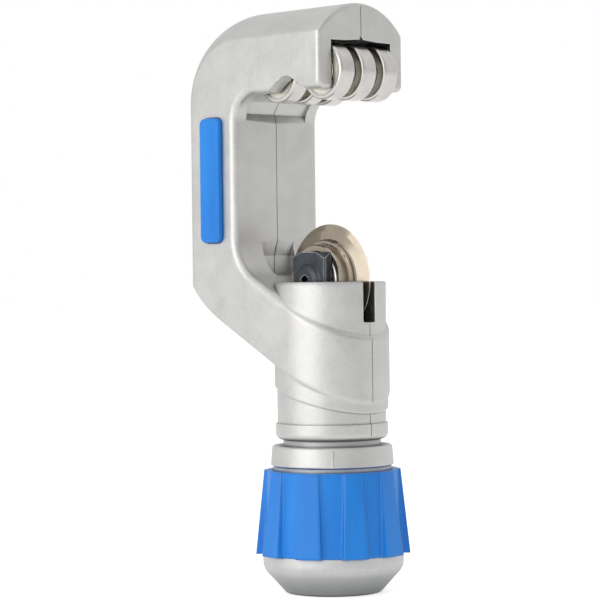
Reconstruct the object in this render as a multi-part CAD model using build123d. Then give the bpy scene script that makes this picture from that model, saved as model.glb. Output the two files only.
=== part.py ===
from build123d import *
from math import atan, cos, degrees, hypot, radians, sin, sqrt
import os

# Roller-type pipe cutter. Millimetres, +Z up.
# Z is the axis of the neck, knob and feed screw, and z = 0 is the flat end of the knob.
# +X is the open side of the C-shaped frame, and the frame's width lies along Y.

# ---- driving dimensions ----

# frame
FRAME_WIDTH = 29.2
TOP_Z = 146.0
CROWN_RADIUS = 18.0
SPINE_BACK_X = -42.9
OUTER_CORNER_RADIUS = 23.0
ARM_FRONT_X = 11.9
THROAT_BACK_X = -19.2
THROAT_TOP_Z = 124.5
THROAT_TOP_RADIUS = 6.5
THROAT_BOTTOM_RADIUS = 11.0
STRUT_SLOPE = 0.54
STRUT_UPPER_Z = 71.7
STRUT_LOWER_Z = 53.6
LOWER_CORNER_RADIUS = 33.0
THROAT_EDGE_RADIUS = 1.8
FRAME_EDGE_RADIUS = 1.4
FRONT_EDGE_RADIUS = 1.1
NOTCH_RADIUS = 4.2

# neck and spigot
NECK_RADIUS = 13.85
NECK_WAIST_RADIUS = 13.6
NECK_TIER_RADIUS = 14.2
NECK_TIER_Z = 49.1
NECK_TIER_SLOPE = 0.29
NECK_RIM_Z = 77.4
RING_RADIUS = 14.05
RING_BOTTOM_Z = 38.2
RING_TOP_Z = 42.25
SPIGOT_RADIUS = 12.2
SPIGOT_BOTTOM_Z = 16.0
BORE_RADIUS = 10.2
BORE_FLOOR_Z = 20.0
FRONT_SLOT_HALF_WIDTH = 2.07
FRONT_SLOT_BOTTOM_Z = 67.3
KEYWAY_BOTTOM_Z = 40.5
KEY_WIDTH = 4.0
KEYWAY_X = -12.0
WHEEL_POCKET_HALF_WIDTH = 5.5
WHEEL_POCKET_DRAFT = 2.2
WHEEL_POCKET = [(0, 61), (-10.0, 62.5), (-20.5, 79), (-20.5, 84.2), (-19.0, 89), (-13.2, 100), (0, 100)]
JOURNAL_RADIUS = 4.6

# side inserts
INSERT_X = (-31.0, -23.8)
INSERT_Z = (87.6, 119.1)
INSERT_CORNER_RADIUS = 1.6
INSERT_DEPTH = 1.6
INSERT_PROUD = 1.3
INSERT_EDGE_RADIUS = 0.4
INSERT_PEG_RADIUS = 1.5
INSERT_PEG_DEPTH = 4.5

# rollers
ROLLER_RADIUS = 7.0
ROLLER_BORE_RADIUS = 2.5
ROLLER_WIDTH = 5.0
ROLLER_BALL_PITCH = 4.72
ROLLER_BALL_RADIUS = 1.15
ROLLER_BALLS = 8
ROLLER_PITCH_Y = 7.5
ROLLER_X = 8.0
ROLLER_Z = 129.1
CHANNEL_WIDTH = 20.7
CHANNEL_TOP_Z = 136.6
CHANNEL_DRAFT = 1.0
ROLLER_POCKET = [(-16.2, 136.6), (-18.2, 123), (-20.0, 120.3), (-19.1, 117.6), (-13.2, 110.5)]
PIN_LEFT_Y = -13.2
PIN_RIGHT_Y = 14.2
SPACER_RADIUS = 3.6
RING_EDGE_RADIUS = 0.75
SHIELD_THICKNESS = 0.3

# wheel
WHEEL_Z = 77.7
WHEEL_BEARING_RADIUS = 7.5
WHEEL_BEARING_BORE_RADIUS = 3.0
WHEEL_BEARING_WIDTH = 5.0
WHEEL_BALL_PITCH = 5.25
WHEEL_BALL_RADIUS = 1.2
WHEEL_BALLS = 9
WHEEL_SHIM_RADIUS = 4.3
WHEEL_HUB_RADIUS = 8.95
WHEEL_HUB_HALF = 5.0
WHEEL_PROFILE = [
    (14.07, 0.05), (12.57, 0.5), (10.4, 0.95), (10.1, 1.3),
    (10.05, 1.9), (9.8, 2.2), (9.3, 2.3), (9.1, 2.6),
]
AXLE_RADIUS = 3.0
AXLE_HEAD_RADIUS = 4.3
AXLE_HEAD_HEIGHT = 1.2
AXLE_SOCKET_RADIUS = 1.5
AXLE_SOCKET_DEPTH = 2.0

# carriage
CARRIAGE_RADIUS = 10.12
CARRIAGE_BOTTOM_Z = 24.6
THREAD_TOP_Z = 34.6
EAR_HALF_X = 5.9
EAR_OUTER_Y = 7.6
EAR_INNER_Y = 5.3
EAR_ROOT_Z = 73.2
EAR_TOP_Z = 84.83
EAR_FLAT_RADIUS = 7.9
EAR_TOP_SLOPE = 1.05
EAR_CORNER = 0.4
DISC_SLOT_HALF = 1.6
DISC_SLOT_FLOOR_Z = 62.9
HUB_SLOT_FLOOR_Z = 66.9
KEY_SEAT_X = 8.4
KEY_Z = (41.0, 51.0)

# knob
KNOB_RADIUS = 17.6
KNOB_FLAT_RADIUS = 11.9
KNOB_SHOULDER_Z = 9.8
GRIP_TOP_Z = 30.6
GRIP_RIDGES = 10
COLLAR_TOP_Z = 36.75
COLLAR_BOTTOM_Z = 31.6
COLLAR_RADIUS = 15.4
FLASH_ANGLES = (-44.0, 136.0)
NECKING_RADIUS = 14.8
BARREL_RADIUS = 15.3
LIP_HEIGHT = 0.7
CORE_FLOOR_Z = 15.4
GRIP_KEY_RADIUS = 16.1
GRIP_KEY_TOP_Z = 18.0
FLUTE_BOTTOM_RADIUS = 17.65
FLUTE_TOP_RADIUS = 16.6
RIDGE_BOTTOM_RADIUS = 19.5
RIDGE_TOP_RADIUS = 17.15
RIDGE_BOTTOM_ANGLE = 9.5
RIDGE_TOP_ANGLE = 7.0
FIRST_RIDGE_ANGLE = -27.0
KNOB_SCREW_RADIUS = 2.5
KNOB_SCREW_HEAD_RADIUS = 4.3
KNOB_SCREW_HEAD_Z = (2.5, 5.6)
PLUG_RADIUS = 6.0
PLUG_TOP_Z = 2.2
KNOB_SCREW_TOP_Z = 14.5
KNOB_SOCKET_RADIUS = 1.7
O_RING_Z = (29.5, 31.7)
O_RING_SEAT_RADIUS = 11.2

# feed screw
SCREW_RADIUS = 4.6
SCREW_TOP_Z = 61.0
SCREW_FLANGE_RADIUS = 9.6
FLANGE_BOTTOM_Z = 21.2
FLANGE_TOP_Z = 24.0
DRIVE_HALF = 3.6
DRIVE_BOTTOM_Z = 8.2

# fits
RUNNING_GAP = 0.08
SIDE_GAP = 0.3
BALL_GAP = 0.04
SEAM_DEPTH = 0.16
SEAM_HALF_WIDTH = 0.13

# ---- worked-out dimensions ----

HALF_WIDTH = FRAME_WIDTH / 2
CROWN_RISE = CROWN_RADIUS - sqrt(CROWN_RADIUS ** 2 - HALF_WIDTH ** 2)
CORNER_X = SPINE_BACK_X + OUTER_CORNER_RADIUS
CORNER_Z = TOP_Z - OUTER_CORNER_RADIUS
CHANNEL_HALF = CHANNEL_WIDTH / 2
LONG = 200.0


# ---- basic shapes ----

def rod_z(radius, bottom, top, x=0.0, y=0.0):
    """Upright cylinder between two heights."""
    middle = (bottom + top) / 2
    return Pos(x, y, middle) * Cylinder(radius, top - bottom)


def rod_y(radius, left, right, x, z):
    """Cylinder across the frame, between two Y values."""
    middle = (left + right) / 2
    return Pos(x, middle, z) * Rot(90, 0, 0) * Cylinder(radius, right - left)


def block(x_range, y_range, z_range):
    """Box between two values along each axis."""
    size = [high - low for low, high in (x_range, y_range, z_range)]
    centre = [(high + low) / 2 for low, high in (x_range, y_range, z_range)]
    return Pos(*centre) * Box(*size)


def plate_across(points, half_width, corner_radii=None, draft=0.0):
    """Outline in X and Z, extruded both ways along Y. Chosen corners are rounded."""
    face = make_face(Polyline(*[(x, z) for x, z in points], close=True))
    for (x, z), radius in (corner_radii or {}).items():
        corner = face.vertices().sort_by_distance((x, z, 0))[0]
        face = fillet(corner, radius)
    return extrude(Plane.XZ * face, half_width, both=True, taper=draft)


def turned(points):
    """Outline in radius and height, revolved about the Z axis."""
    face = make_face(Polyline(*points, close=True))
    return revolve(Plane.XZ * face, Axis.Z)


def turned_across(points, x, z):
    """Outline in radius and Y, revolved about an axis along Y through x, z."""
    face = make_face(Polyline(*points, close=True))
    return Pos(x, 0, z) * Rot(-90, 0, 0) * revolve(Plane.XZ * face, Axis.Z)


def above_plane(z_at_axis, slope):
    """Everything above a plane that falls toward +X with the given slope."""
    angle = degrees(atan(slope))
    return Pos(0, 0, z_at_axis) * Rot(0, angle, 0) * Pos(0, 0, LONG / 2) * Box(LONG, LONG, LONG)


def edges_where(shape, test):
    """Edges whose start, quarter points, middle and end all pass a test."""
    places = (0, 0.25, 0.5, 0.75, 1)
    return shape.edges().filter_by(lambda edge: all(test(edge @ place) for place in places))


# ---- frame casting ----

def crown_section(depth):
    """Cross-section of the arm: flat sides under a crowned back, with its top at y = 0."""
    top_left = (-HALF_WIDTH, -CROWN_RISE)
    top_right = (HALF_WIDTH, -CROWN_RISE)
    outline = ThreePointArc(top_left, (0, 0), top_right)
    outline += Polyline(top_right, (HALF_WIDTH, -depth), (-HALF_WIDTH, -depth), top_left)
    return make_face(outline)


def crowned_back(depth=19.5):
    """The crowned back, run along the arm, round the outer corner and down the spine."""
    section = crown_section(depth)
    across_arm = Plane(origin=(CORNER_X, 0, TOP_Z), x_dir=(0, 1, 0), z_dir=(1, 0, 0))
    arm = extrude(across_arm * section, ARM_FRONT_X - CORNER_X)
    hinge_line = Axis((CORNER_X, 0, CORNER_Z), (0, 1, 0))
    corner = revolve(across_arm * section, hinge_line, -90)
    across_spine = Plane(origin=(SPINE_BACK_X, 0, CORNER_Z), x_dir=(0, 1, 0), z_dir=(0, 0, 1))
    spine = extrude(across_spine * section, -(CORNER_Z - STRUT_LOWER_Z))
    return arm + corner + spine


def frame_sides():
    """The C-shaped body between the crowned back and the throat, with the strut and its band."""
    inset = CROWN_RISE + 2.0
    corner = (THROAT_BACK_X, STRUT_UPPER_Z - STRUT_SLOPE * THROAT_BACK_X)
    back_x = SPINE_BACK_X + inset
    outline = [
        (ARM_FRONT_X, TOP_Z - inset),
        (back_x, TOP_Z - inset),
        (back_x, STRUT_LOWER_Z - STRUT_SLOPE * back_x),
        (0, STRUT_LOWER_Z),
        (0, STRUT_UPPER_Z),
        corner,
        (THROAT_BACK_X, THROAT_TOP_Z),
        (ARM_FRONT_X, THROAT_TOP_Z),
    ]
    rounded = {
        (back_x, TOP_Z - inset): OUTER_CORNER_RADIUS - inset,
        corner: THROAT_BOTTOM_RADIUS,
        (THROAT_BACK_X, THROAT_TOP_Z): THROAT_TOP_RADIUS,
    }
    band = rod_z(HALF_WIDTH, 0, TOP_Z) & above_plane(STRUT_LOWER_Z, STRUT_SLOPE)
    band -= above_plane(STRUT_UPPER_Z, STRUT_SLOPE)
    band &= block((0, LONG), (-LONG, LONG), (0, LONG))
    return plate_across(outline, HALF_WIDTH, rounded) + band


def below_strut():
    """Everything under the strut and outside the lower back corner."""
    back_x = SPINE_BACK_X - 0.5
    corner = (back_x, STRUT_LOWER_Z - STRUT_SLOPE * back_x)
    cut_x = 30.0
    cut_z = STRUT_LOWER_Z - STRUT_SLOPE * cut_x
    outline = [(back_x, TOP_Z), corner, (cut_x, cut_z), (cut_x, -50), (-90, -50), (-90, TOP_Z)]
    return plate_across(outline, HALF_WIDTH + 1, {corner: LOWER_CORNER_RADIUS})


def on_outer_side(p):
    """True on the frame's two flat sides and on the round front of the strut's band."""
    on_band = p.X >= 0 and hypot(p.X, p.Y) > HALF_WIDTH - 0.01
    return on_band or abs(p.Y) > HALF_WIDTH - 0.02


def on_shoulder(p):
    """True where the crowned back meets a flat side."""
    if not on_outer_side(p):
        return False
    if p.X > CORNER_X:
        return p.Z > TOP_Z - CROWN_RISE - 0.05
    if p.Z < CORNER_Z:
        return p.X < SPINE_BACK_X + CROWN_RISE + 0.05
    return hypot(p.X - CORNER_X, p.Z - CORNER_Z) > OUTER_CORNER_RADIUS - CROWN_RISE - 0.05


def on_throat_edge(p):
    """True where the walls of the throat meet a flat side."""
    strut_top = STRUT_UPPER_Z - STRUT_SLOPE * p.X
    return on_outer_side(p) and strut_top - 0.01 < p.Z < THROAT_TOP_Z + 0.01


def lower_edges(body):
    """Edges round the faces that the strut and the lower back corner stand on."""
    faces = [f for f in body.faces() if f.normal_at().Z < -0.3 and f.center().Z < THROAT_TOP_Z - 20]
    return ShapeList(e for f in faces for e in f.edges() if abs((e @ 0.5).Y) > 1)


def frame_body():
    """Outer shape of the C, with its cast edges rounded."""
    body = crowned_back() + frame_sides() - below_strut()
    body = fillet(edges_where(body, on_shoulder) + lower_edges(body), FRAME_EDGE_RADIUS)
    body = fillet(edges_where(body, on_throat_edge), THROAT_EDGE_RADIUS)
    front = edges_where(body, lambda p: abs(p.X - ARM_FRONT_X) < 0.01)
    front = front.filter_by(lambda edge: (edge @ 0.5).Z > THROAT_TOP_Z + 0.5)
    return fillet(front, FRONT_EDGE_RADIUS)


def neck():
    """Neck tube with its waist, slanted tier and bottom ring, and the spigot below it."""
    ring_round = 1.6
    ring_face = make_face(Polyline(
        (0, RING_BOTTOM_Z), (RING_RADIUS, RING_BOTTOM_Z), (RING_RADIUS, RING_TOP_Z),
        (0, RING_TOP_Z), close=True))
    ring_corner = ring_face.vertices().sort_by_distance((RING_RADIUS, RING_BOTTOM_Z, 0))[0]
    ring = revolve(Plane.XZ * fillet(ring_corner, ring_round), Axis.Z)
    inside_band = (STRUT_UPPER_Z + STRUT_LOWER_Z) / 2
    waist = rod_z(NECK_WAIST_RADIUS, RING_TOP_Z, inside_band)
    tier = rod_z(NECK_TIER_RADIUS, RING_TOP_Z, NECK_RIM_Z) & above_plane(NECK_TIER_Z, NECK_TIER_SLOPE)
    tier -= above_plane(inside_band, STRUT_SLOPE)
    upper = rod_z(NECK_RADIUS, RING_TOP_Z, NECK_RIM_Z) & above_plane(inside_band, STRUT_SLOPE)
    upper = fillet(upper.edges().sort_by(Axis.Z)[-1], 0.5)
    spigot = rod_z(SPIGOT_RADIUS, SPIGOT_BOTTOM_Z, RING_BOTTOM_Z)
    return ring + waist + tier + upper + spigot


def carriage_bore():
    """Bore, journal hole, keyway, front slot and the rear pocket that clears the wheel."""
    bore = rod_z(BORE_RADIUS, BORE_FLOOR_Z, THROAT_TOP_Z - 25)
    journal = rod_z(JOURNAL_RADIUS, SPIGOT_BOTTOM_Z - 1, BORE_FLOOR_Z + 1)
    keyway = block((KEYWAY_X, 0), (-KEY_WIDTH / 2, KEY_WIDTH / 2), (KEYWAY_BOTTOM_Z, THROAT_TOP_Z - 25))
    slot = block(
        (0, RING_RADIUS + 2), (-FRONT_SLOT_HALF_WIDTH, FRONT_SLOT_HALF_WIDTH),
        (FRONT_SLOT_BOTTOM_Z, NECK_RIM_Z + 1))
    slot_floor = slot.edges().filter_by(Axis.X).sort_by(Axis.Z)[:2]
    slot = fillet(slot_floor, 0.6)
    return bore + journal + keyway + slot + wheel_pocket()


def wheel_pocket():
    """Pocket in the corner of the strut and spine that the wheel sinks into."""
    seam = plate_across([(x - SEAM_DEPTH, z) for x, z in WHEEL_POCKET], SEAM_HALF_WIDTH)
    return plate_across(WHEEL_POCKET, WHEEL_POCKET_HALF_WIDTH, draft=WHEEL_POCKET_DRAFT) + seam


def roller_channel():
    """Channel under the arm, open to the front, that ends in a shallow pocket in the spine."""
    open_x = ARM_FRONT_X + 5
    outline = [(open_x, CHANNEL_TOP_Z), *ROLLER_POCKET, (open_x, THROAT_TOP_Z - 14)]
    channel = plate_across(outline, CHANNEL_HALF, draft=CHANNEL_DRAFT)
    eaves_z = CHANNEL_TOP_Z - 0.5
    roof = [(-CHANNEL_HALF, eaves_z), (0, CHANNEL_TOP_Z + 0.35), (CHANNEL_HALF, eaves_z)]
    seam = plate_across([(x - SEAM_DEPTH, z) for x, z in outline], SEAM_HALF_WIDTH)
    return channel + along_arm(roof, ROLLER_POCKET[0][0]) + seam


def small_pipe_notch():
    """Rounded notch through both ears between the rollers, for gripping the thinnest pipe."""
    arc = rod_y(NOTCH_RADIUS, -HALF_WIDTH - 1, HALF_WIDTH + 1, 0, THROAT_TOP_Z - 0.5)
    flare_half = NOTCH_RADIUS + 2.6
    half_outline = [
        (NOTCH_RADIUS - 1, THROAT_TOP_Z + 2.6), (flare_half, THROAT_TOP_Z), (flare_half, THROAT_TOP_Z - 1),
    ]
    outline = half_outline + [(-x, z) for x, z in reversed(half_outline)]
    return arc + plate_across(outline, HALF_WIDTH + 1)


def along_arm(points, start_x):
    """Outline in Y and Z, run forward along X from a chosen place and out through the arm's front."""
    face = make_face(Polyline(*points, close=True))
    plane = Plane(origin=(start_x, 0, 0), x_dir=(0, 1, 0), z_dir=(1, 0, 0))
    return extrude(plane * face, ARM_FRONT_X + 1 - start_x)


def seam_line():
    """Shallow mould-parting groove along the middle plane, where the casting shows it."""
    half = SEAM_HALF_WIDTH
    wall = block((THROAT_BACK_X - SEAM_DEPTH, THROAT_BACK_X + 1), (-half, half), (87, 119))
    front = block((ARM_FRONT_X - SEAM_DEPTH, ARM_FRONT_X + 1), (-half, half), (CHANNEL_TOP_Z, TOP_Z))
    nick_z = CHANNEL_TOP_Z + 0.2
    nick = along_arm([(-0.9, nick_z), (0.9, nick_z), (0, nick_z + 1.1)], ARM_FRONT_X - 1)
    band_top = STRUT_UPPER_Z - STRUT_SLOPE * HALF_WIDTH
    band_bottom = STRUT_LOWER_Z - STRUT_SLOPE * HALF_WIDTH
    runs = (
        (RING_RADIUS, RING_BOTTOM_Z, RING_TOP_Z), (NECK_WAIST_RADIUS, RING_TOP_Z, band_bottom),
        (HALF_WIDTH, band_bottom, band_top), (NECK_RADIUS, band_top, FRONT_SLOT_BOTTOM_Z))
    grooves = wall + front + nick
    for radius, bottom, top in runs:
        grooves += block((radius - SEAM_DEPTH, radius + 0.3), (-half, half), (bottom, top))
    return grooves


def roller_pin_holes():
    """Holes for the two roller pins: through the right ear, blind in the left one."""
    hole = rod_y(ROLLER_BORE_RADIUS, PIN_LEFT_Y, HALF_WIDTH + 1, ROLLER_X, ROLLER_Z)
    return hole + Pos(-2 * ROLLER_X, 0, 0) * hole


def insert_blank(depth, grow=0.0):
    """Long rounded plate of a side insert, on the right side of the frame."""
    left, right = INSERT_X
    bottom, top = INSERT_Z
    plate = block(
        (left - grow, right + grow), (HALF_WIDTH - depth, HALF_WIDTH), (bottom - grow, top + grow))
    return fillet(plate.edges().filter_by(Axis.Y), INSERT_CORNER_RADIUS + grow)


def insert_pegs(radius, depth):
    """Two pegs behind a side insert, on the right side of the frame."""
    middle_x = sum(INSERT_X) / 2
    middle_z = sum(INSERT_Z) / 2
    inner = HALF_WIDTH - depth
    pegs = [rod_y(radius, inner, HALF_WIDTH - 1, middle_x, middle_z + side * 10) for side in (-1, 1)]
    return pegs[0] + pegs[1]


def insert_recesses():
    """Recesses and peg holes for the inserts on both sides."""
    right = insert_blank(INSERT_DEPTH, 0.1) + insert_pegs(INSERT_PEG_RADIUS, INSERT_PEG_DEPTH)
    return right + mirror(right, Plane.XZ)


def neck_groove():
    """Groove round the spigot for the O-ring."""
    outside = rod_z(SPIGOT_RADIUS + 1, *O_RING_Z)
    return outside - rod_z(O_RING_SEAT_RADIUS, *O_RING_Z)


def frame_casting():
    """The one-piece casting that everything else is fitted to."""
    casting = frame_body() + neck()
    for cut in (carriage_bore(), roller_channel(), small_pipe_notch(), roller_pin_holes(),
                insert_recesses(), neck_groove(), seam_line()):
        casting -= cut
    return casting


def side_insert():
    """Plastic insert of the right side: a softly edged plate with two pegs."""
    plate = insert_blank(INSERT_DEPTH)
    cover = Pos(0, INSERT_PROUD, 0) * insert_blank(INSERT_DEPTH)
    cover = fillet(cover.faces().sort_by(Axis.Y)[-1].edges(), INSERT_EDGE_RADIUS)
    return plate + cover + insert_pegs(INSERT_PEG_RADIUS, INSERT_PEG_DEPTH)


# ---- rollers and their bearings ----

def bearing(centre, bore, outer, width, pitch, ball, count):
    """A shielded ball bearing on an axis along Y: its separate pieces by name."""
    half = width / 2
    place = Pos(*centre) * Rot(-90, 0, 0)
    turns = [Rot(0, 0, 360 * index / count) * Pos(pitch, 0, 0) for index in range(count)]
    shoulder_in = pitch - 0.62 * ball
    shoulder_out = pitch + 0.66 * ball
    seat_out = shoulder_out + 0.25
    lip = half - 0.6
    groove = Torus(pitch, ball + BALL_GAP)
    inner = rod_z(shoulder_in, -half, half) - rod_z(bore, -half - 1, half + 1)
    inner = chamfer(inner.edges().filter_by(GeomType.CIRCLE), 0.15) - groove
    outer_ring = rod_z(outer, -half, half)
    outer_ring = fillet(outer_ring.edges().filter_by(GeomType.CIRCLE), RING_EDGE_RADIUS)
    outer_ring -= rod_z(shoulder_out, -half - 1, half + 1)
    outer_ring -= rod_z(seat_out, lip, half + 1) + rod_z(seat_out, -half - 1, -lip)
    outer_ring -= groove
    washer = rod_z(seat_out, lip, lip + SHIELD_THICKNESS) - rod_z(shoulder_in + 0.15, lip - 1, half)
    shields = [place * washer, place * mirror(washer, Plane.XY)]
    cage = rod_z(pitch + 0.32, -ball - 0.25, ball + 0.25) - rod_z(pitch - 0.32, -half, half)
    for turn in turns:
        cage -= turn * Rot(0, 90, 0) * Cylinder(ball + BALL_GAP, ball)
    return {
        "inner_ring": [place * inner],
        "outer_ring": [place * outer_ring],
        "shields": shields,
        "balls": [place * turn * Sphere(ball) for turn in turns],
        "cage": [place * cage],
    }


def roller_pin():
    """Dowel pin through the right ear, the rollers and into the left ear, at the front."""
    pin = rod_y(ROLLER_BORE_RADIUS, PIN_LEFT_Y + 0.2, PIN_RIGHT_Y, ROLLER_X, ROLLER_Z)
    return chamfer(pin.edges().filter_by(GeomType.CIRCLE), 0.4)


def tube_y(outer, inner, left, right, x, z):
    """Short tube across the frame."""
    return rod_y(outer, left, right, x, z) - rod_y(inner, left - 1, right + 1, x, z)


def roller_spacers():
    """Spacer tubes between the inner rings, two on each pin."""
    half = ROLLER_WIDTH / 2
    gap = ROLLER_PITCH_Y - ROLLER_WIDTH
    starts = (-ROLLER_PITCH_Y + half, half)
    return [tube_y(SPACER_RADIUS, ROLLER_BORE_RADIUS, y, y + gap, x, ROLLER_Z)
            for x in (-ROLLER_X, ROLLER_X) for y in starts]


def roller_shims():
    """Thin washers between the outermost inner rings and the ears."""
    inner_y = ROLLER_PITCH_Y + ROLLER_WIDTH / 2
    sides = ((-CHANNEL_HALF, -inner_y), (inner_y, CHANNEL_HALF))
    return [tube_y(SPACER_RADIUS, ROLLER_BORE_RADIUS, left, right, x, ROLLER_Z)
            for x in (-ROLLER_X, ROLLER_X) for left, right in sides]


# ---- carriage and cutting wheel ----

def carriage_blank():
    """Turned blank of the slide, with a coned top."""
    cone_foot_z = EAR_TOP_Z - EAR_TOP_SLOPE * (CARRIAGE_RADIUS - EAR_FLAT_RADIUS)
    return turned([
        (0, CARRIAGE_BOTTOM_Z), (CARRIAGE_RADIUS - 0.5, CARRIAGE_BOTTOM_Z),
        (CARRIAGE_RADIUS, CARRIAGE_BOTTOM_Z + 0.5), (CARRIAGE_RADIUS, cone_foot_z),
        (EAR_FLAT_RADIUS, EAR_TOP_Z), (0, EAR_TOP_Z),
    ])


def carriage():
    """Steel slide: a threaded tube below and a fork with two square ears above."""
    ears = block((-EAR_HALF_X, EAR_HALF_X), (-EAR_OUTER_Y, EAR_OUTER_Y), (0, LONG))
    ears = chamfer(ears.edges().filter_by(Axis.Z), EAR_CORNER)
    lower = rod_z(CARRIAGE_RADIUS + 1, 0, EAR_ROOT_Z)
    body = carriage_blank() & (ears + lower)
    body -= block((-LONG, LONG), (-EAR_INNER_Y, EAR_INNER_Y), (HUB_SLOT_FLOOR_Z, LONG))
    body -= block((-LONG, LONG), (-DISC_SLOT_HALF, DISC_SLOT_HALF), (DISC_SLOT_FLOOR_Z, LONG))
    body -= rod_z(SCREW_RADIUS + RUNNING_GAP, CARRIAGE_BOTTOM_Z - 1, SCREW_TOP_Z + 0.6)
    body -= rod_z(SCREW_RADIUS + 0.9, THREAD_TOP_Z, SCREW_TOP_Z + 0.6)
    body -= rod_y(AXLE_RADIUS, -CARRIAGE_RADIUS, CARRIAGE_RADIUS, 0, WHEEL_Z)
    seat = block((-LONG, -KEY_SEAT_X), (-KEY_WIDTH / 2, KEY_WIDTH / 2), KEY_Z)
    return body - seat


def guide_key():
    """Key that stops the carriage turning in the neck."""
    half = KEY_WIDTH / 2 - RUNNING_GAP
    key = block((KEYWAY_X + SIDE_GAP, -KEY_SEAT_X), (-half, half), KEY_Z)
    return fillet(key.edges().filter_by(Axis.X), 1.2)


def wheel_axle():
    """Button-head screw through both ears: the wheel's axle."""
    seat_y = -EAR_OUTER_Y
    head_y = seat_y - AXLE_HEAD_HEIGHT
    tip_y = EAR_OUTER_Y - 0.2
    outline = [
        (0, head_y), (AXLE_HEAD_RADIUS - 1.6, head_y), (AXLE_HEAD_RADIUS - 0.7, head_y + 0.35),
        (AXLE_HEAD_RADIUS - 0.15, head_y + 0.85), (AXLE_HEAD_RADIUS, seat_y), (AXLE_RADIUS, seat_y),
        (AXLE_RADIUS, tip_y - 0.4), (AXLE_RADIUS - 0.4, tip_y), (0, tip_y),
    ]
    socket_face = RegularPolygon(AXLE_SOCKET_RADIUS, 6)
    socket = extrude(Plane(origin=(0, head_y, WHEEL_Z), z_dir=(0, 1, 0)) * socket_face, AXLE_SOCKET_DEPTH)
    return turned_across(outline, 0, WHEEL_Z) - socket


def cutter_wheel():
    """Hardened disc with a fine edge and a stepped hub that holds two bearings."""
    side = [
        *WHEEL_PROFILE, (WHEEL_HUB_RADIUS, WHEEL_HUB_HALF - 0.4), (WHEEL_HUB_RADIUS - 0.35, WHEEL_HUB_HALF),
        (WHEEL_BEARING_RADIUS, WHEEL_HUB_HALF),
    ]
    outline = side + [(radius, -y) for radius, y in reversed(side)]
    return turned_across(outline, 0, WHEEL_Z)


def wheel_shims():
    """Washers between the bearings' inner rings and the fork's ears."""
    sides = ((-EAR_INNER_Y, -WHEEL_BEARING_WIDTH), (WHEEL_BEARING_WIDTH, EAR_INNER_Y))
    return [tube_y(WHEEL_SHIM_RADIUS, AXLE_RADIUS, left, right, 0, WHEEL_Z) for left, right in sides]


# ---- knob and feed screw ----

def thrust_washer():
    """Bronze washer that takes the cutting force on the floor of the bore."""
    return rod_z(SCREW_FLANGE_RADIUS, BORE_FLOOR_Z, FLANGE_BOTTOM_Z) - rod_z(JOURNAL_RADIUS, 0, 50)


def feed_screw():
    """Left-hand feed screw: threaded rod, flange, journal and a square drive for the knob."""
    rod = rod_z(SCREW_RADIUS, FLANGE_BOTTOM_Z, SCREW_TOP_Z)
    rod = chamfer(rod.edges().sort_by(Axis.Z)[-1], 0.9)
    flange = rod_z(SCREW_FLANGE_RADIUS, FLANGE_BOTTOM_Z, FLANGE_TOP_Z)
    journal = rod_z(JOURNAL_RADIUS - RUNNING_GAP, CORE_FLOOR_Z, FLANGE_BOTTOM_Z)
    drive = block((-DRIVE_HALF, DRIVE_HALF), (-DRIVE_HALF, DRIVE_HALF), (DRIVE_BOTTOM_Z, CORE_FLOOR_Z))
    hole = rod_z(KNOB_SCREW_RADIUS, DRIVE_BOTTOM_Z - 1, CORE_FLOOR_Z + 1)
    return rod + flange + journal + drive - hole


def knob_core():
    """Cast knob: flat end, shoulder, keyed barrel under the grip and the collar above it."""
    barrel_top = GRIP_TOP_Z - LIP_HEIGHT
    outline = [
        (0, 0), (KNOB_FLAT_RADIUS, 0), (KNOB_RADIUS, 6.2), (KNOB_RADIUS, KNOB_SHOULDER_Z),
        (BARREL_RADIUS, KNOB_SHOULDER_Z), (BARREL_RADIUS, barrel_top), (NECKING_RADIUS, barrel_top),
        (NECKING_RADIUS, COLLAR_BOTTOM_Z), (COLLAR_RADIUS, COLLAR_BOTTOM_Z + 0.25),
        (COLLAR_RADIUS - 0.35, COLLAR_TOP_Z - 0.4), (COLLAR_RADIUS - 0.8, COLLAR_TOP_Z), (0, COLLAR_TOP_Z),
    ]
    face = make_face(Polyline(*outline, close=True))
    for place, radius in (((KNOB_RADIUS, 6.2), 4.0), ((KNOB_FLAT_RADIUS, 0), 1.0)):
        face = fillet(face.vertices().sort_by_distance((*place, 0))[0], radius)
    core = revolve(Plane.XZ * face, Axis.Z)
    for turn in range(4):
        core += Rot(0, 0, 90 * turn) * grip_key(0.0)
    core -= rod_z(SPIGOT_RADIUS + RUNNING_GAP, CORE_FLOOR_Z, COLLAR_TOP_Z + 1)
    square = (-DRIVE_HALF, DRIVE_HALF)
    core -= block(square, square, (DRIVE_BOTTOM_Z - 0.3, CORE_FLOOR_Z + 1))
    core -= rod_z(KNOB_SCREW_RADIUS + 0.3, -1, DRIVE_BOTTOM_Z)
    core -= rod_z(KNOB_SCREW_HEAD_RADIUS + 0.3, -1, KNOB_SCREW_HEAD_Z[1])
    core -= rod_z(PLUG_RADIUS, -1, PLUG_TOP_Z)
    flash_radius = (COLLAR_RADIUS - 0.6, COLLAR_RADIUS + 0.06)
    flash = block(flash_radius, (-0.13, 0.13), (COLLAR_BOTTOM_Z, COLLAR_TOP_Z - 0.7))
    for turn in FLASH_ANGLES:
        core += Rot(0, 0, turn) * flash
    return core


def grip_key(grow):
    """Key on the barrel that drives the grip."""
    half = 1.5 + grow
    radii = (BARREL_RADIUS - 1, GRIP_KEY_RADIUS + grow)
    return block(radii, (-half, half), (KNOB_SHOULDER_Z, GRIP_KEY_TOP_Z + grow))


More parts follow.
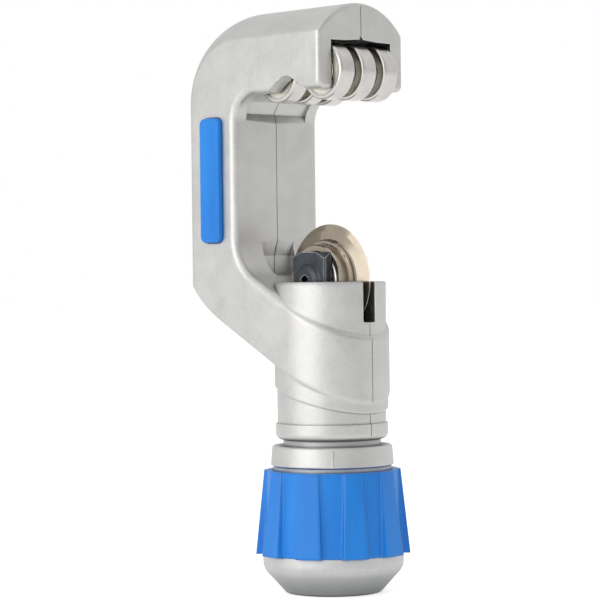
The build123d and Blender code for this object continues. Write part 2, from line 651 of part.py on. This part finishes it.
def knob_screw():
    """Low-head socket screw that holds the knob on the feed screw."""
    low, high = KNOB_SCREW_HEAD_Z
    head = rod_z(KNOB_SCREW_HEAD_RADIUS, low, high)
    head = chamfer(head.edges().sort_by(Axis.Z)[0], 0.3)
    shank = rod_z(KNOB_SCREW_RADIUS, high, KNOB_SCREW_TOP_Z)
    shank = chamfer(shank.edges().sort_by(Axis.Z)[-1], 0.4)
    socket = Pos(0, 0, low) * extrude(RegularPolygon(KNOB_SOCKET_RADIUS, 6), 2.0)
    return head + shank - socket


def end_plug():
    """Disc pressed into the flat end of the knob, over the screw."""
    return rod_z(PLUG_RADIUS, 0, PLUG_TOP_Z)


def grip_ridge():
    """One tapering ridge of the grip, centred on +X."""
    bottom = ridge_section(RIDGE_BOTTOM_RADIUS, RIDGE_BOTTOM_ANGLE, KNOB_SHOULDER_Z)
    top = ridge_section(RIDGE_TOP_RADIUS, RIDGE_TOP_ANGLE, GRIP_TOP_Z)
    return loft([bottom, top])


def ridge_section(radius, half_angle, z):
    """Flat-topped section of a ridge at one height."""
    root = BARREL_RADIUS + 0.6
    foot_angle = half_angle + 2.5
    corners = [(radius, half_angle), (radius, -half_angle), (root, -foot_angle), (root, foot_angle)]
    points = [(r * cos(radians(a)), r * sin(radians(a))) for r, a in corners]
    return Pos(0, 0, z) * make_face(Polyline(*points, close=True))


def grip_sleeve():
    """Ribbed plastic sleeve, wider at the bottom, with a lip that snaps under the collar."""
    outline = [
        (BARREL_RADIUS + 0.05, KNOB_SHOULDER_Z), (FLUTE_BOTTOM_RADIUS, KNOB_SHOULDER_Z),
        (FLUTE_TOP_RADIUS, GRIP_TOP_Z), (NECKING_RADIUS + 0.05, GRIP_TOP_Z),
        (NECKING_RADIUS + 0.05, GRIP_TOP_Z - LIP_HEIGHT), (BARREL_RADIUS + 0.05, GRIP_TOP_Z - LIP_HEIGHT),
    ]
    sleeve = turned(outline)
    step = 360 / GRIP_RIDGES
    for index in range(GRIP_RIDGES):
        sleeve += Rot(0, 0, FIRST_RIDGE_ANGLE + step * index) * grip_ridge()
    for turn in range(4):
        sleeve -= Rot(0, 0, 90 * turn) * grip_key(0.05)
    return sleeve


def o_ring():
    """Rubber ring in the spigot's groove that seals the knob."""
    low, high = O_RING_Z
    ring = rod_z(SPIGOT_RADIUS + 0.04, low + 0.1, high - 0.1) - rod_z(O_RING_SEAT_RADIUS, low - 1, high + 1)
    return fillet(ring.edges().filter_by(GeomType.CIRCLE), 0.35)


def knob_washer():
    """Spring washer between the spigot's end and the knob's floor."""
    return rod_z(SPIGOT_RADIUS - 1, CORE_FLOOR_Z, SPIGOT_BOTTOM_Z) - rod_z(JOURNAL_RADIUS, 0, 50)


# ---- the whole set of pieces ----

def roller_pieces():
    """All bearing pieces of the six rollers, by node name."""
    pieces = {}
    rows = (("front", ROLLER_X), ("rear", -ROLLER_X))
    columns = (("left", -ROLLER_PITCH_Y), ("middle", 0), ("right", ROLLER_PITCH_Y))
    for row, x in rows:
        for column, y in columns:
            made = bearing(
                (x, y, ROLLER_Z), ROLLER_BORE_RADIUS, ROLLER_RADIUS, ROLLER_WIDTH,
                ROLLER_BALL_PITCH, ROLLER_BALL_RADIUS, ROLLER_BALLS)
            for name, solids in made.items():
                pieces[f"{row}_{column}_roller_{name}"] = solids
    return pieces


def wheel_bearing_pieces():
    """Pieces of the two bearings in the wheel's hub, gathered by kind."""
    pieces = {}
    for y in (-WHEEL_BEARING_WIDTH / 2, WHEEL_BEARING_WIDTH / 2):
        made = bearing(
            (0, y, WHEEL_Z), WHEEL_BEARING_BORE_RADIUS, WHEEL_BEARING_RADIUS, WHEEL_BEARING_WIDTH,
            WHEEL_BALL_PITCH, WHEEL_BALL_RADIUS, WHEEL_BALLS)
        for name, solids in made.items():
            plural = name if name.endswith("s") else name + "s"
            pieces.setdefault("wheel_bearing_" + plural, []).extend(solids)
    return pieces


def all_pieces():
    """Every node of the assembly: a name and its list of solids."""
    front_pin = roller_pin()
    right_insert = side_insert()
    pieces = {
        "frame_casting": [frame_casting()],
        "right_side_insert": [right_insert],
        "left_side_insert": [mirror(right_insert, Plane.XZ)],
        "front_roller_pin": [front_pin],
        "rear_roller_pin": [Pos(-2 * ROLLER_X, 0, 0) * front_pin],
        "roller_spacers": roller_spacers(),
        "roller_shims": roller_shims(),
        "o_ring": [o_ring()],
        "thrust_washer": [thrust_washer()],
        "knob_washer": [knob_washer()],
        "feed_screw": [feed_screw()],
        "knob_core": [knob_core()],
        "knob_screw": [knob_screw()],
        "end_plug": [end_plug()],
        "grip_sleeve": [grip_sleeve()],
        "carriage": [carriage()],
        "guide_key": [guide_key()],
        "wheel_axle_screw": [wheel_axle()],
        "wheel_shims": wheel_shims(),
        "cutter_wheel": [cutter_wheel()],
    }
    pieces.update(roller_pieces())
    pieces.update(wheel_bearing_pieces())
    return pieces


os.makedirs("parts", exist_ok=True)
for node, solids in all_pieces().items():
    shape = solids[0] if len(solids) == 1 else Compound(children=solids)
    export_step(shape, f"parts/{node}.step")
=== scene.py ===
"""Studio scene of the pipe cutter: finishes for every part, soft light, a floor and a camera."""

from math import cos, radians, sin

import bpy
from mathutils import Matrix, Vector


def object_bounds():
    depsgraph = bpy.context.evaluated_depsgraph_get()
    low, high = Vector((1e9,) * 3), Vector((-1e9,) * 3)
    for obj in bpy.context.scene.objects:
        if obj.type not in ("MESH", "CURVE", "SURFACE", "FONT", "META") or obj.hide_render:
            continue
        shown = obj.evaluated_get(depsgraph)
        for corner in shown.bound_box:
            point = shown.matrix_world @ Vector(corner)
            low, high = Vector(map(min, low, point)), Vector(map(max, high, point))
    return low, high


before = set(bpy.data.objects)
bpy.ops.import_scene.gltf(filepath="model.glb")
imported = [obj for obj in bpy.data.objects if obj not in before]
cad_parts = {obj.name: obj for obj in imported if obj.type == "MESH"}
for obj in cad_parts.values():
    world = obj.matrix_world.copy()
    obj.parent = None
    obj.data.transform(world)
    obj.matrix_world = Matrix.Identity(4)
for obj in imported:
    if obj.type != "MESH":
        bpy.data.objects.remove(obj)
CAD_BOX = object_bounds()

MM = 0.001

# Camera: it looks across the open side of the C from a little above the neck. It is aimed level at
# the Z axis, and then turned by these few tenths of a degree.
CAMERA_AZIMUTH = radians(45.94)
CAMERA_DISTANCE = 611.6 * MM
CAMERA_HEIGHT = 79.0 * MM
CAMERA_YAW = radians(0.714)
CAMERA_PITCH = radians(0.57)
CAMERA_ROLL = radians(-0.68)
LENS_MM = 146.8
SENSOR_MM = 36.0

# Softboxes, square panels aimed at the object's middle: the angle in degrees to the right of the
# camera, the height, the distance and the panel's side in metres, and the power in watts.
KEY_LIGHT = {"angle": -49, "height": 0.22, "distance": 0.9, "side": 0.9, "power": 3.1}
TOP_LIGHT = {"angle": -10, "height": 1.1, "distance": 0.25, "side": 0.9, "power": 0.5}

# The surround shows as plain white, and lights the object with this strength. It is darker on one
# side, as behind a flag, between two angles in degrees from the flag's own direction.
WHITE = (1.0, 1.0, 1.0)
SEEN_STRENGTH = 1.0
WORLD_STRENGTH = 0.80
FLAG_ANGLE = 48
FLAG_STRENGTH = 0.25
FLAG_INNER = 12
FLAG_OUTER = 55

# The floor glows a little, so that it stays pale in view. It lights the object less.
FLOOR_SIZE = 8.0
FLOOR_GAP = 0.05 * MM
FLOOR_ALBEDO = 0.9
FLOOR_ROUGHNESS = 0.9
FLOOR_GLOW = 0.60
FLOOR_GLOW_ON_OBJECT = 0.22

# Rays taken at a point to find its edges and its crevices.
PROBES = 6

# Noise mostly lies between these two values, and a mask spreads them over its whole range.
LOW, HIGH = 0.3, 0.7

# Cast alloy: the mottled body, the bright grains in it, the painted shade in recesses, and what
# edges and seams turn to.
CAST_BODY = (0.57, 0.57, 0.56), (0.67, 0.66, 0.64)
CAST_GRAIN = (0.74, 0.74, 0.72)
CAST_PAINTED_SHADE = (0.28, 0.29, 0.30)
CAST_RUBBED = (0.84, 0.84, 0.82)
CAST_SEAM = (0.19, 0.195, 0.20)
CAST_GRAIN_SHARE = 0.6
CAST_PAINTED_SHADE_SHARE = 0.8
CAST_ROUGHNESS = 0.38, 0.50
CAST_RUBBED_POLISH = 0.10
CAST_EDGE_RADIUS = 0.5 * MM

# The corner where the strut's top edge is cast into the side of the neck: its place, how far the
# softening reaches, and how much it adds to the edge radius.
NECK_BLEND = (7 * MM, 12.5 * MM, 75 * MM)
NECK_BLEND_REACH = 10 * MM
NECK_BLEND_RADIUS = 1.8 * MM

# Moulded plastic.
BLUE_BODY = (0.004, 0.190, 0.66), (0.012, 0.240, 0.76)
BLUE_RUBBED = (0.12, 0.38, 0.86)
BLUE_ROUGHNESS = 0.30, 0.40
BLUE_SPECULAR = 0.4
BLUE_EDGE_RADIUS = 1.0 * MM

# Turned steels: the tint, the least roughness, the stretch that makes rings round an axis, and the
# share of dirt and painted shade in gaps.
RINGS_ROUND_Y = (0.15, 12.0, 0.15)
RINGS_ROUND_Z = (0.15, 0.15, 12.0)
STEELS = {
    "bearing_steel": ((0.72, 0.70, 0.67), 0.18, RINGS_ROUND_Y, 0.9),
    "shield_steel": ((0.90, 0.88, 0.76), 0.42, RINGS_ROUND_Y, 0.0),
    "wheel_steel": ((0.46, 0.395, 0.315), 0.10, RINGS_ROUND_Y, 0.5),
    "zinc_steel": ((0.66, 0.66, 0.65), 0.28, RINGS_ROUND_Z, 0.0),
    "bronze": ((0.62, 0.44, 0.22), 0.30, RINGS_ROUND_Z, 0.0),
}
STEEL_STAIN = 0.86
STEEL_RUBBED = (0.90, 0.88, 0.84)
STEEL_DIRT_AND_SHADE = (0.07, 0.075, 0.085)
STEEL_ROUGHNESS_RANGE = 0.08

# Black oxide.
OXIDE_BODY = (0.045, 0.052, 0.062), (0.085, 0.095, 0.11)
OXIDE_RUBBED = (0.72, 0.73, 0.72)
OXIDE_ROUGHNESS = 0.34, 0.48
OXIDE_METALLIC = 0.85

# Rubber.
RUBBER_BODY = (0.012, 0.012, 0.012), (0.04, 0.04, 0.038)
RUBBER_ROUGHNESS = 0.55, 0.75


def colour(red, green, blue):
    return (red, green, blue, 1.0)


class Finish:
    """A material, with one short method for each kind of node that the finishes share."""

    def __init__(self, name):
        self.material = bpy.data.materials.new(name + "_finish")
        self.material.use_nodes = True
        self.tree = self.material.node_tree
        self.shader = self.tree.nodes["Principled BSDF"]
        self.place = self.tree.nodes.new("ShaderNodeTexCoord").outputs["Object"]

    def node(self, kind, inputs=None, **settings):
        """A new node. Numbers and tuples are set on its inputs, and sockets are linked to them."""
        made = self.tree.nodes.new(kind)
        for key, value in settings.items():
            setattr(made, key, value)
        for key, value in (inputs or {}).items():
            self.feed(made.inputs[key], value)
        return made

    def feed(self, socket, value):
        if isinstance(value, bpy.types.NodeSocket):
            self.tree.links.new(value, socket)
        else:
            socket.default_value = value

    def set(self, **values):
        """Sets or links the shader's own inputs. An underscore stands for a space in a name."""
        for key, value in values.items():
            self.feed(self.shader.inputs[key.replace("_", " ")], value)

    def noise(self, size, detail=3.0, place=None):
        """Noise with features of about this size in metres, from 0 to 1."""
        inputs = {"Vector": place or self.place, "Scale": 1 / size, "Detail": detail}
        return self.node("ShaderNodeTexNoise", inputs).outputs["Fac"]

    def stretched(self, scale):
        """The place on the part, stretched by this factor along each axis."""
        inputs = {"Vector": self.place, "Scale": scale}
        return self.node("ShaderNodeMapping", inputs).outputs["Vector"]

    def spread(self, value, low, high, start=0.0, end=1.0):
        """The value's range from low to high, spread over start to end and held at the ends."""
        inputs = {"Value": value, "From Min": low, "From Max": high, "To Min": start, "To Max": end}
        return self.node("ShaderNodeMapRange", inputs).outputs["Result"]

    def maths(self, operation, first, second):
        inputs = {0: first, 1: second}
        return self.node("ShaderNodeMath", inputs, operation=operation).outputs[0]

    def blend(self, share, first, second):
        """Two colours mixed by share. Either is a socket or a red, green and blue."""
        made = self.node("ShaderNodeMix", {"Factor": share}, data_type="RGBA")
        for number, part in ((6, first), (7, second)):
            self.feed(made.inputs[number], colour(*part) if isinstance(part, tuple) else part)
        return made.outputs[2]

    def softened(self, radius):
        """The surface's normal with its edges and corners rounded to about this radius."""
        return self.node("ShaderNodeBevel", {"Radius": radius}, samples=PROBES).outputs["Normal"]

    def edges(self, radius, low=0.02, high=0.12):
        """1 along the convex and concave edges of the part, 0 on its faces."""
        plain = self.node("ShaderNodeNewGeometry").outputs["Normal"]
        inputs = {0: self.softened(radius), 1: plain}
        along = self.node("ShaderNodeVectorMath", inputs, operation="DOT_PRODUCT").outputs["Value"]
        return self.spread(self.maths("SUBTRACT", 1.0, along), low, high)

    def crevices(self, reach, low, high):
        """1 inside grooves and corners narrower than about the reach, 0 in the open."""
        probe = self.node("ShaderNodeAmbientOcclusion", {"Distance": reach}, samples=PROBES)
        return self.spread(probe.outputs["AO"], low, high, 1.0, 0.0)

    def near(self, spot, reach):
        """1 at a spot and its mirror images, down to 0 between 0.4 of the reach and the reach."""
        mirrored = self.node("ShaderNodeVectorMath", {0: self.place}, operation="ABSOLUTE")
        inputs = {0: mirrored.outputs["Vector"], 1: spot}
        away = self.node("ShaderNodeVectorMath", inputs, operation="DISTANCE").outputs["Value"]
        return self.spread(away, 0.4 * reach, reach, 1.0, 0.0)

    def bump(self, height, depth, strength, over=None):
        """Relief of this depth in metres, on top of an earlier bump where one is given."""
        inputs = {"Height": height, "Distance": depth, "Strength": strength}
        if over is not None:
            inputs["Normal"] = over
        return self.node("ShaderNodeBump", inputs).outputs["Normal"]


def cast_alloy():
    """Tumbled die-cast alloy: fine grain, soft mottling, painted shade in recesses, bright rubbed
    edges and dark seams.
    """
    finish = Finish("cast_alloy")
    mottle = finish.noise(6 * MM, 4.0)
    grain = finish.noise(0.32 * MM, 2.0)
    skin = finish.noise(1.6 * MM)
    worn = finish.edges(CAST_EDGE_RADIUS)
    seam = finish.crevices(0.7 * MM, 0.35, 0.9)
    # Painted shade: recesses and corners within about 9 mm are darkened towards dark grey, where
    # shade falls.
    recess_shade = finish.crevices(9 * MM, 0.25, 0.72)
    body = finish.blend(finish.spread(mottle, LOW, HIGH), *CAST_BODY)
    grains = finish.spread(grain, 0.35, 0.75, 0.0, CAST_GRAIN_SHARE)
    speckled = finish.blend(grains, body, CAST_GRAIN)
    shade_share = finish.maths("MULTIPLY", recess_shade, CAST_PAINTED_SHADE_SHARE)
    shaded_body = finish.blend(shade_share, speckled, CAST_PAINTED_SHADE)
    rubbed = finish.blend(worn, shaded_body, CAST_RUBBED)
    finish.set(Base_Color=finish.blend(seam, rubbed, CAST_SEAM))
    rough = finish.spread(finish.maths("ADD", mottle, grain), 2 * LOW, 2 * HIGH, *CAST_ROUGHNESS)
    polish = finish.maths("MULTIPLY", worn, CAST_RUBBED_POLISH)
    finish.set(Roughness=finish.maths("SUBTRACT", rough, polish))
    finish.set(Metallic=1.0)
    cast_in = finish.near(NECK_BLEND, NECK_BLEND_REACH)
    extra = finish.maths("MULTIPLY", cast_in, NECK_BLEND_RADIUS)
    rounded = finish.softened(finish.maths("ADD", extra, CAST_EDGE_RADIUS))
    waves = finish.bump(mottle, 0.18 * MM, 0.7, rounded)
    relief = finish.bump(skin, 0.09 * MM, 0.6, waves)
    finish.set(Normal=finish.bump(grain, 0.02 * MM, 0.6, relief))
    return finish.material


def blue_plastic():
    """Moulded blue plastic: slight flow streaks, fine moulded texture and rubbed edges."""
    finish = Finish("blue_plastic")
    flow = finish.noise(6 * MM, place=finish.stretched((1.0, 1.0, 0.25)))
    grain = finish.noise(0.25 * MM, 2.0)
    worn = finish.edges(0.35 * MM)
    body = finish.blend(finish.spread(flow, LOW, HIGH), *BLUE_BODY)
    finish.set(Base_Color=finish.blend(worn, body, BLUE_RUBBED))
    finish.set(Roughness=finish.spread(flow, LOW, HIGH, *BLUE_ROUGHNESS))
    finish.set(Normal=finish.bump(grain, 0.01 * MM, 0.5, finish.softened(BLUE_EDGE_RADIUS)))
    finish.set(Specular_IOR_Level=BLUE_SPECULAR)
    return finish.material


def turned_steel(name):
    """Ground or turned metal: fine rings, slight stains, rubbed edges, and dirt and painted shade
    in gaps.
    """
    tint, rough, axis_stretch, dirt_and_shade_share = STEELS[name]
    finish = Finish(name)
    rings = finish.noise(0.6 * MM, 4.0, finish.stretched(axis_stretch))
    stain = finish.noise(4 * MM)
    worn = finish.edges(0.25 * MM)
    dark = tuple(STEEL_STAIN * part for part in tint)
    body = finish.blend(finish.spread(stain, LOW, HIGH), tint, dark)
    rubbed = finish.blend(worn, body, STEEL_RUBBED)
    # Dirt and painted shade: gaps and steps within about 2.6 mm are darkened towards blue-black,
    # where shade falls.
    dirt_and_shade = finish.maths("MULTIPLY", finish.crevices(2.6 * MM, 0.35, 0.8), dirt_and_shade_share)
    finish.set(Base_Color=finish.blend(dirt_and_shade, rubbed, STEEL_DIRT_AND_SHADE))
    finish.set(Roughness=finish.spread(rings, LOW, HIGH, rough, rough + STEEL_ROUGHNESS_RANGE))
    finish.set(Metallic=1.0)
    finish.set(Normal=finish.bump(rings, 0.006 * MM, 0.5))
    return finish.material


def blackened_steel():
    """Black oxide on steel: blue-black, with bare metal showing along the edges."""
    finish = Finish("blackened_steel")
    cloud = finish.noise(3 * MM)
    grain = finish.noise(0.3 * MM, 2.0)
    worn = finish.edges(0.3 * MM, high=0.10)
    patchy = finish.maths("MULTIPLY", worn, finish.spread(cloud, 0.3, 0.6, 0.5, 1.0))
    body = finish.blend(finish.spread(cloud, LOW, HIGH), *OXIDE_BODY)
    finish.set(Base_Color=finish.blend(patchy, body, OXIDE_RUBBED))
    finish.set(Roughness=finish.spread(grain, LOW, HIGH, *OXIDE_ROUGHNESS))
    finish.set(Metallic=OXIDE_METALLIC)
    finish.set(Normal=finish.bump(grain, 0.012 * MM, 0.6))
    return finish.material


def seal_rubber():
    """Black rubber with a dusty bloom."""
    finish = Finish("seal_rubber")
    bloom = finish.noise(2 * MM)
    grain = finish.noise(0.2 * MM, 2.0)
    finish.set(Base_Color=finish.blend(bloom, *RUBBER_BODY))
    finish.set(Roughness=finish.spread(bloom, LOW, HIGH, *RUBBER_ROUGHNESS))
    finish.set(Normal=finish.bump(grain, 0.01 * MM, 0.5))
    return finish.material


def finish_nodes():
    """Gives every CAD node the finish of the material slot that it was packed with."""
    finishes = {
        "cast_alloy": cast_alloy(),
        "blue_plastic": blue_plastic(),
        "blackened_steel": blackened_steel(),
        "seal_rubber": seal_rubber(),
        **{name: turned_steel(name) for name in STEELS},
    }
    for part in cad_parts.values():
        for holder in part.material_slots:
            holder.material = finishes[holder.material.name]


def camera_axes(back):
    """The camera's right, up and backward directions, from the level direction it stands in."""
    right = Vector((-back.y, back.x, 0))
    ahead = -back * cos(CAMERA_YAW) - right * sin(CAMERA_YAW)
    side = right * cos(CAMERA_YAW) - back * sin(CAMERA_YAW)
    forward = ahead * cos(CAMERA_PITCH) - Vector((0, 0, 1)) * sin(CAMERA_PITCH)
    up = side.cross(forward)
    rolled_side = side * cos(CAMERA_ROLL) + up * sin(CAMERA_ROLL)
    rolled_up = up * cos(CAMERA_ROLL) - side * sin(CAMERA_ROLL)
    return rolled_side, rolled_up, -forward


def make_camera():
    """The camera, at the height and turn that show the neck and the open side together."""
    data = bpy.data.cameras.new("camera")
    data.lens = LENS_MM
    data.sensor_width = SENSOR_MM
    camera = bpy.data.objects.new("camera", data)
    back = Vector((sin(CAMERA_AZIMUTH), -cos(CAMERA_AZIMUTH), 0))
    turn = Matrix(camera_axes(back)).transposed()
    stand = back * CAMERA_DISTANCE + Vector((0, 0, CAMERA_HEIGHT))
    camera.matrix_world = Matrix.Translation(stand) @ turn.to_4x4()
    bpy.context.scene.collection.objects.link(camera)
    bpy.context.scene.camera = camera


def softbox(name, angle, height, distance, side, power):
    """An area light at this angle in degrees to the right of the camera, aimed at the object."""
    middle = (CAD_BOX[0] + CAD_BOX[1]) / 2
    data = bpy.data.lights.new(name, "AREA")
    data.shape = "SQUARE"
    data.size = side
    data.energy = power
    azimuth = CAMERA_AZIMUTH + radians(angle)
    light = bpy.data.objects.new(name, data)
    light.location = (distance * sin(azimuth), -distance * cos(azimuth), height)
    light.rotation_euler = (light.location - middle).to_track_quat("Z", "Y").to_euler()
    bpy.context.scene.collection.objects.link(light)


def make_world():
    """A soft surround, darker on one side, that shows as plain white behind the object."""
    world = bpy.data.worlds.new("surround")
    world.use_nodes = True
    tree = world.node_tree
    background = tree.nodes["Background"]
    background.inputs["Color"].default_value = colour(*WHITE)
    azimuth = CAMERA_AZIMUTH + radians(FLAG_ANGLE)
    level = tree.nodes.new("ShaderNodeVectorMath")
    level.operation = "MULTIPLY"
    level.inputs[1].default_value = (1, 1, 0)
    tree.links.new(tree.nodes.new("ShaderNodeTexCoord").outputs["Generated"], level.inputs[0])
    unit = tree.nodes.new("ShaderNodeVectorMath")
    unit.operation = "NORMALIZE"
    tree.links.new(level.outputs[0], unit.inputs[0])
    toward = tree.nodes.new("ShaderNodeVectorMath")
    toward.operation = "DOT_PRODUCT"
    toward.inputs[1].default_value = (sin(azimuth), -cos(azimuth), 0)
    tree.links.new(unit.outputs[0], toward.inputs[0])
    flag = tree.nodes.new("ShaderNodeMapRange")
    flag.interpolation_type = "SMOOTHSTEP"
    flag.inputs["From Min"].default_value = cos(radians(FLAG_OUTER))
    flag.inputs["From Max"].default_value = cos(radians(FLAG_INNER))
    flag.inputs["To Min"].default_value = WORLD_STRENGTH
    flag.inputs["To Max"].default_value = WORLD_STRENGTH - FLAG_STRENGTH
    tree.links.new(toward.outputs["Value"], flag.inputs["Value"])
    strength = tree.nodes.new("ShaderNodeMix")
    strength.inputs["B"].default_value = SEEN_STRENGTH
    tree.links.new(flag.outputs["Result"], strength.inputs["A"])
    seen = tree.nodes.new("ShaderNodeLightPath").outputs["Is Camera Ray"]
    tree.links.new(seen, strength.inputs["Factor"])
    tree.links.new(strength.outputs["Result"], background.inputs["Strength"])
    bpy.context.scene.world = world


def make_floor():
    """A plain pale floor under the object."""
    half = FLOOR_SIZE / 2
    mesh = bpy.data.meshes.new("floor")
    corners = [(-half, -half, 0), (half, -half, 0), (half, half, 0), (-half, half, 0)]
    mesh.from_pydata(corners, [], [(0, 1, 2, 3)])
    finish = Finish("floor")
    finish.set(Base_Color=colour(*(FLOOR_ALBEDO,) * 3), Roughness=FLOOR_ROUGHNESS)
    seen = finish.node("ShaderNodeLightPath").outputs["Is Camera Ray"]
    glow = finish.spread(seen, 0.0, 1.0, FLOOR_GLOW_ON_OBJECT, FLOOR_GLOW)
    finish.set(Emission_Color=colour(*WHITE), Emission_Strength=glow)
    mesh.materials.append(finish.material)
    floor = bpy.data.objects.new("floor", mesh)
    floor.location.z = CAD_BOX[0].z - FLOOR_GAP
    bpy.context.scene.collection.objects.link(floor)


make_camera()
make_world()
make_floor()
softbox("key", **KEY_LIGHT)
softbox("top", **TOP_LIGHT)
finish_nodes()
bpy.context.scene.view_settings.view_transform = "Standard"
